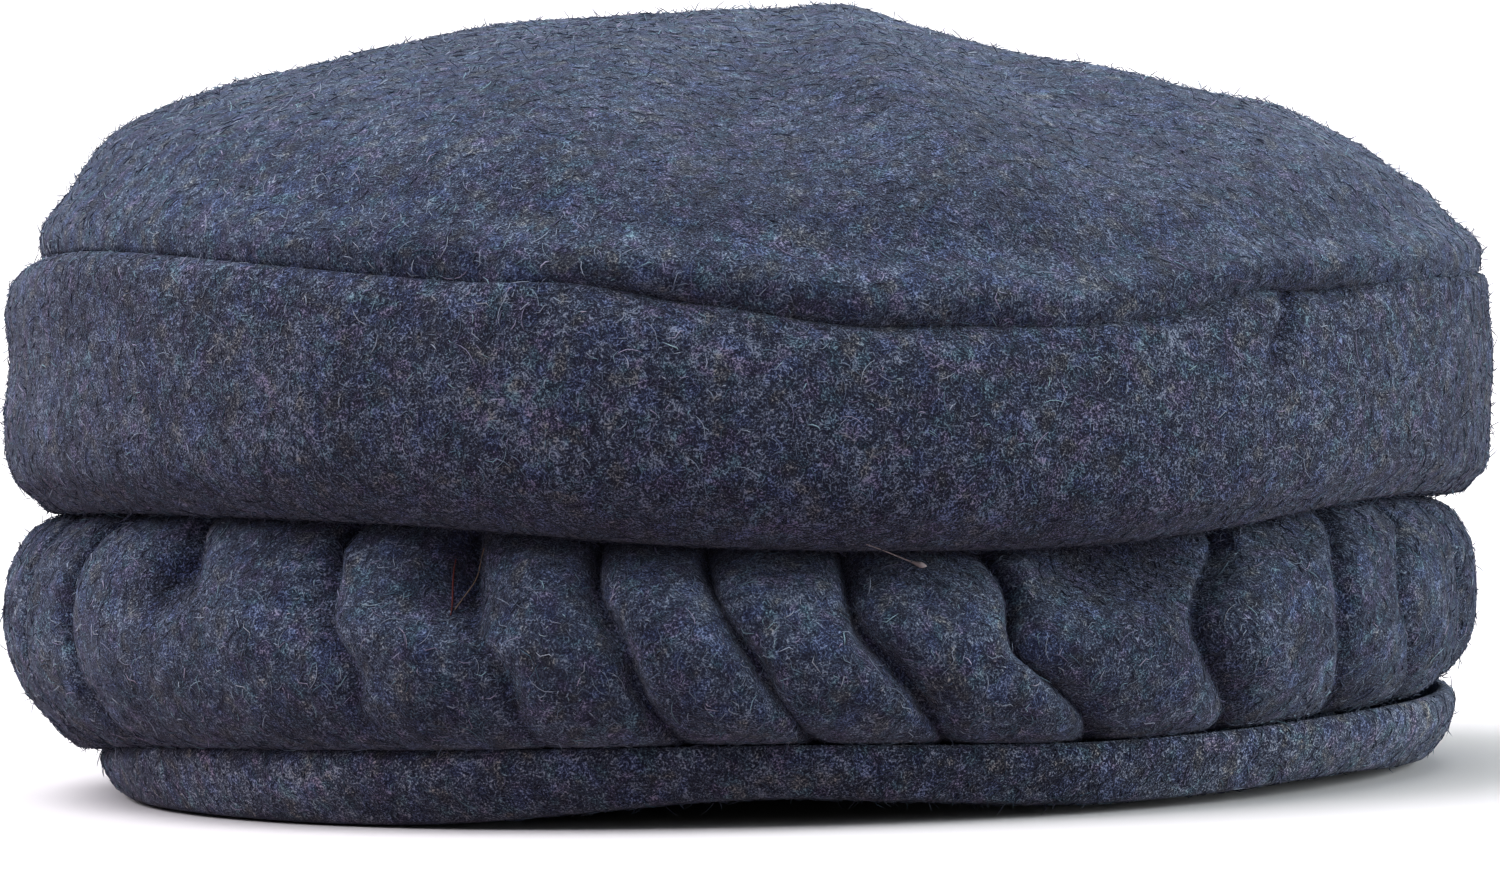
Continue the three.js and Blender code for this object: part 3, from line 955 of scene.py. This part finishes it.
# %% Finish and fasten the pieces
PIECES = [
    # piece, solid, name of its finish, tint of its cloth, contrast of its yarns
    (crown_top, "crown_top", "crown_felt", (1.05, 1.08, 1.09), 1.0),
    (crown_side, "crown_side", "side_felt", (0.85, 0.84, 0.87), 1.4),
    (pleated_roll, "pleated_roll", "roll_felt", (0.99, 1.0, 1.02), 1.1),
    (headband, "headband", "band_felt", (1.74, 1.62, 1.52), 1.25),
]
for piece, solid, slot, tint, contrast in PIECES:
    piece.data.materials.clear()
    piece.data.materials.append(felt_finish(slot, tint, contrast))
    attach(piece, "root")
    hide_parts(solid)

# %% [markdown]
# Felt is never smooth: fibres that the fulling left loose lie on it in all directions, and a
# few stand up. Hair particles could draw them, but hair is no mesh and would be lost when the
# cap is handed on. Here each fibre is a bent needle with three sides and 6 to 15 faces. A few
# needles are extruded ring by ring, and Geometry Nodes scatters them over the outside of each
# piece.

# %% Needles of wool
NEEDLES = [
    # name, length and thickness in millimetres, sideways bend at each of its stations
    ("needle_hook", 2.9, 0.17, (0.0, 0.35, 0.75, 0.2)),
    ("needle_arc", 2.4, 0.19, (0.0, 0.42, 0.42, 0.0)),
    ("needle_wave", 3.4, 0.16, (0.2, -0.30, 0.35, -0.1)),
    ("needle_bent", 1.6, 0.20, (0.0, 0.22, 0.0)),
    ("needle_short", 1.2, 0.22, (0.0, 0.12, 0.0)),
    ("needle_crumb", 0.9, 0.24, (0.0, 0.10, 0.05)),
    ("needle_stray", 4.6, 0.13, (0.0, 0.42, 0.62, 0.50, 0.15, -0.4)),
]
NEEDLE_HIGH = 0.13  # how high its middle lies over the cloth, in millimetres
NEEDLE_DEEP = 0.11  # and how deep its ends lie in the cloth
CHART_STEP = 0.004  # how much of the shade chart a needle's own faces spread over
CHART = "OFBake"


def make_needle(name, length, thick, bends):
    """A closed needle along X that lies on the plane Z = 0 and bends in it."""
    bm = bmesh.new()
    ring = bmesh.ops.create_circle(bm, segments=3, radius=0.5 * thick * MM)["verts"]
    bmesh.ops.rotate(bm, verts=ring, matrix=Matrix.Rotation(math.pi / 2, 3, "Y"))
    rings = [ring]
    edges = list(bm.edges)
    for _ in bends[1:]:
        made = bmesh.ops.extrude_edge_only(bm, edges=edges)["geom"]
        edges = [item for item in made if isinstance(item, bmesh.types.BMEdge)]
        rings.append([item for item in made if isinstance(item, bmesh.types.BMVert)])
    for i, (verts, bend) in enumerate(zip(rings, bends)):
        along = i / (len(bends) - 1) - 0.5
        ends = 4.0 * along * along
        lift = NEEDLE_HIGH * (1.0 - ends) - NEEDLE_DEEP * ends
        bmesh.ops.translate(bm, verts=verts, vec=Vector((along * length, bend, lift)) * MM)
    for tip in (rings[0], rings[-1]):
        middle = sum((vert.co for vert in tip), Vector()) / len(tip)
        bmesh.ops.pointmerge(bm, verts=tip, merge_co=middle)
    bmesh.ops.recalc_face_normals(bm, faces=bm.faces)
    chart = bm.loops.layers.uv.new(CHART)
    for face in bm.faces:
        for corner, loop in enumerate(face.loops):
            loop[chart].uv = (CHART_STEP * (corner == 1), CHART_STEP * (corner == 2))
        face.smooth = True
    return link(name, bm)


needles = bpy.data.collections.new("needles")
for row in NEEDLES:
    needle = make_needle(*row)
    bpy.context.scene.collection.objects.unlink(needle)
    needles.objects.link(needle)
print("faces in the longest needle:", len(needle.data.polygons))

# %% [markdown]
# The scatter tree reads as a recipe. Points fall on the outside at random. On each lands one
# of the needles, spun about the surface's normal and tipped up a little, a few of them a lot.
# Two numbers are drawn for each needle, its shade and its dye, and become its place on a
# chart: the wool's colours laid out as a map, from dark to light and from one dye to the next.

# %% Scatter tree
COUNT_SEED = 11
LEAST_SIZE = 0.7
MOST_SIZE = 1.25
TIP_UP = 1.1  # radians, for the few that stand most
CREASE_NAP = 1.5  # how much denser the nap is in a crease
NAP_PAINTED_SHADE = 0.7  # how much darker the needles are painted where shade is painted on the cloth
FIBRE_TEAL = (0.3, 0.12)  # where on the chart this dye starts and is full
FIBRE_PLUM = (0.72, 0.9)


def nap_tree(name, density, rarity, seed):
    """A tree that turns a piece of cloth into the needles on it, this many to the square metre."""
    group = bpy.data.node_groups.new(name, "GeometryNodeTree")
    group.interface.new_socket("Cloth", in_out="INPUT", socket_type="NodeSocketGeometry")
    group.interface.new_socket("Nap", in_out="OUTPUT", socket_type="NodeSocketGeometry")
    tree = Tree(group)

    def draw(low, high, salt):
        values = {2: low, 3: high, "Seed": seed + salt}
        return tree.node("FunctionNodeRandomValue", {"data_type": "FLOAT"}, values, out=1)

    def named(name, kind="FLOAT"):
        return tree.node("GeometryNodeInputNamedAttribute", {"data_type": kind}, {"Name": name})

    cloth = tree.node("NodeGroupInput")
    coat = named("coat")
    hollow = named("hollow")
    points = tree.node("GeometryNodeDistributePointsOnFaces", {"distribute_method": "RANDOM"},
                       {"Mesh": cloth, "Density": coat * density * (hollow * CREASE_NAP + 1.0),
                        "Seed": seed})
    upright = Wire(tree, points.socket.node.outputs["Rotation"])
    tip = draw(0.0, 1.0, 1) ** rarity * TIP_UP
    spin = draw(0.0, 2.0 * math.pi, 2)
    turn_z = tree.node("ShaderNodeCombineXYZ", {}, {"Z": spin})
    turn_y = tree.node("ShaderNodeCombineXYZ", {}, {"Y": tip})
    spun = tree.node("FunctionNodeRotateRotation", {"rotation_space": "LOCAL"},
                     {"Rotation": upright, "Rotate By": tree.node(
                         "FunctionNodeEulerToRotation", {}, {"Euler": turn_z})})
    tipped = tree.node("FunctionNodeRotateRotation", {"rotation_space": "LOCAL"},
                       {"Rotation": spun, "Rotate By": tree.node(
                           "FunctionNodeEulerToRotation", {}, {"Euler": turn_y})})
    kinds = tree.node("GeometryNodeCollectionInfo", {},
                      {"Collection": needles, "Separate Children": True, "Reset Children": True})
    pick = tree.node("FunctionNodeRandomValue", {"data_type": "INT"},
                     {4: 0, 5: len(NEEDLES) - 1, "Seed": seed + 3}, out=2)
    laid = tree.node("GeometryNodeInstanceOnPoints", {},
                     {"Points": points, "Instance": kinds, "Pick Instance": True,
                      "Instance Index": pick, "Rotation": tipped,
                      "Scale": draw(LEAST_SIZE, MOST_SIZE, 4)})
    # the needles are painted darker where shade is painted on the cloth
    place = tree.node("ShaderNodeCombineXYZ", {},
                      {"X": draw(0.0, 1.0, 5) * (1.0 - hollow * NAP_PAINTED_SHADE),
                       "Y": draw(0.0, 1.0, 6)})
    noted = tree.node("GeometryNodeStoreNamedAttribute",
                      {"data_type": "FLOAT_VECTOR", "domain": "INSTANCE"},
                      {"Geometry": laid, "Name": "shade", "Value": place})
    solid = tree.node("GeometryNodeRealizeInstances", {}, {"Geometry": noted})
    placed = tree.arrow("ADD", named(CHART, "FLOAT_VECTOR"), named("shade", "FLOAT_VECTOR"))
    chart = tree.node("GeometryNodeStoreNamedAttribute",
                      {"data_type": "FLOAT2", "domain": "CORNER"},
                      {"Geometry": solid, "Name": CHART, "Value": placed})
    tree.node("NodeGroupOutput", {}, {"Nap": chart})
    return group


def fibre_finish(name):
    """Loose wool, coloured by its place on the chart: across for its shade, up for its dye."""
    material, tree = new_finish(name)
    chart = tree.node("ShaderNodeUVMap", {"uv_map": CHART})
    parts = tree.node("ShaderNodeSeparateXYZ", {}, {"Vector": chart})
    dye = Wire(tree, parts.socket.node.outputs["Y"])
    shades = [(0.0, NAVY), (0.30, DEEP), (0.62, SLATE), (0.9, MIST), (1.0, PALE)]
    yarn = tree.node("ShaderNodeValToRGB", {"stops": shades}, {"Fac": parts})
    drift = tree.mix(tree.ease(dye, *FIBRE_TEAL), WHITE, TEAL)
    drift = tree.mix(tree.ease(dye, *FIBRE_PLUM), drift, PLUM)
    close_finish(tree, {
        "Base Color": tree.mix(1.0, yarn, drift, "MULTIPLY"),
        "Roughness": 0.8,
        "Specular IOR Level": 0.25,
        "Sheen Weight": 0.2,
        "Sheen Roughness": 0.4,
        "Sheen Tint": SHEEN_TINT,
    })
    return material


def make_nap(cloth, name, count, rarity, seed, finish):
    """Scatters about count needles over the outside of a piece, as a piece of their own."""
    layer = cloth.data.attributes["coat"].data
    outside = sum(face.area for face, mark in zip(cloth.data.polygons, layer) if mark.value > 0.5)
    nap = bpy.data.objects.new(name, cloth.data.copy())
    bpy.context.scene.collection.objects.link(nap)
    scatter = nap.modifiers.new("scatter", "NODES")
    scatter.node_group = nap_tree(name, count / outside, rarity, seed)
    settle(nap)
    nap.data.materials.clear()
    nap.data.materials.append(finish)
    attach(nap, "root")
    print(name, "faces:", len(nap.data.polygons), "outside cm2:", round(outside * 1e4))
    return nap


# %% [markdown]
# The crown's fibres are brushed up most. In the roll they are pressed down, and on the band
# more still. Each piece gets a seed of its own, so that the same pattern never comes twice and
# the result is the same each time.

# %% Scatter the fibres
NAP = {
    # solid: about how many needles, and how rarely they stand up
    "crown_top": (15400, 2.0),
    "crown_side": (12500, 3.0),
    "pleated_roll": (13500, 4.0),
    "headband": (7200, 7.0),
}
SEED_STEP = 20
loose_wool = fibre_finish("loose_wool")
for number, (piece, solid, slot, *_) in enumerate(PIECES):
    seed = COUNT_SEED + SEED_STEP * number
    nap = make_nap(piece, solid + "_nap", *NAP[solid], seed, loose_wool)

for needle in list(needles.objects):
    bpy.data.objects.remove(needle)
bpy.data.collections.remove(needles)

# %% [markdown]
# The cap has been handled: a pale thread with a knot has caught under the side band, and a
# rust and a brown one lie in a crease of the roll. A thread is a curve with a round section
# through a few stations. A ray from outside finds the cloth at each of them, and the station
# is set a little off it.

# %% Caught threads
THREADS = [
    # name, thickness in millimetres, colour, and its stations: angle, height, lift, swell
    ("pale_thread", 0.17, (0.32, 0.29, 0.30, 1.0), [
        (9.0, 43.4, 0.0, 0.7), (9.8, 42.8, 0.7, 1.0), (10.9, 42.0, 1.2, 1.0),
        (12.1, 41.0, 0.9, 1.2), (13.0, 40.2, 0.6, 1.6), (13.4, 39.9, 0.6, 6.0),
        (13.7, 39.7, 0.6, 6.4), (14.0, 39.6, 0.5, 0.6)]),
    ("rust_thread", 0.28, (0.09, 0.020, 0.018, 1.0), [
        (-24.9, 41.9, 0.1, 0.8), (-24.8, 39.6, 0.4, 1.0), (-24.5, 37.3, 0.5, 1.0),
        (-24.2, 35.0, 0.4, 1.0), (-24.1, 33.6, 0.1, 0.6)]),
    ("brown_thread", 0.20, (0.17, 0.13, 0.10, 1.0), [
        (-22.5, 43.6, 0.1, 0.7), (-22.8, 41.8, 0.5, 1.0), (-23.1, 39.9, 0.5, 1.0),
        (-23.4, 37.8, 0.5, 1.0), (-23.8, 35.9, 0.5, 1.2), (-24.0, 34.4, 0.1, 0.9)]),
]
OUTSIDE = 0.2  # a ray towards the cap starts this far from its middle line


def on_cloth(angle, height, lift):
    """The place on the cap's outside at an angle and height, lifted off it a little."""
    around = math.radians(angle)
    outward = Vector((math.sin(around), -math.cos(around), 0.0))
    start = outward * OUTSIDE + UP * height * MM
    hits = [piece.ray_cast(start, -outward) for piece, *_ in PIECES]
    places = [place for found, place, *_ in hits if found]
    nearest = min(places, key=lambda place: (place - start).length)
    return nearest + outward * lift * MM


def make_thread(name, thick, colour, stations):
    """A thread through its stations, as a smooth tube."""
    curve = bpy.data.curves.new(name, "CURVE")
    curve.dimensions = "3D"
    curve.bevel_depth = 0.5 * thick * MM
    curve.bevel_resolution = 1
    curve.use_fill_caps = True
    spline = curve.splines.new("NURBS")
    spline.points.add(len(stations) - 1)
    spline.use_endpoint_u = True
    spline.order_u = 4
    spline.resolution_u = 6
    for point, (angle, height, lift, swell) in zip(spline.points, stations):
        point.co = (*on_cloth(angle, height, lift), 1.0)
        point.radius = swell
    thread = bpy.data.objects.new(name + "_curve", curve)
    bpy.context.scene.collection.objects.link(thread)
    graph = bpy.context.evaluated_depsgraph_get()
    mesh = bpy.data.meshes.new_from_object(thread.evaluated_get(graph), depsgraph=graph)
    bpy.data.objects.remove(thread)
    made = bpy.data.objects.new(name, mesh)
    bpy.context.scene.collection.objects.link(made)
    material, tree = new_finish(name)
    close_finish(tree, {"Base Color": colour, "Roughness": 0.8, "Specular IOR Level": 0.2})
    mesh.materials.append(material)
    for polygon in mesh.polygons:
        polygon.use_smooth = True
    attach(made, "root")
    print(name, "faces:", len(mesh.polygons))


bpy.context.view_layer.update()
for row in THREADS:
    make_thread(*row)

# %% [markdown]

# %% Update the scene
bpy.context.view_layer.update()
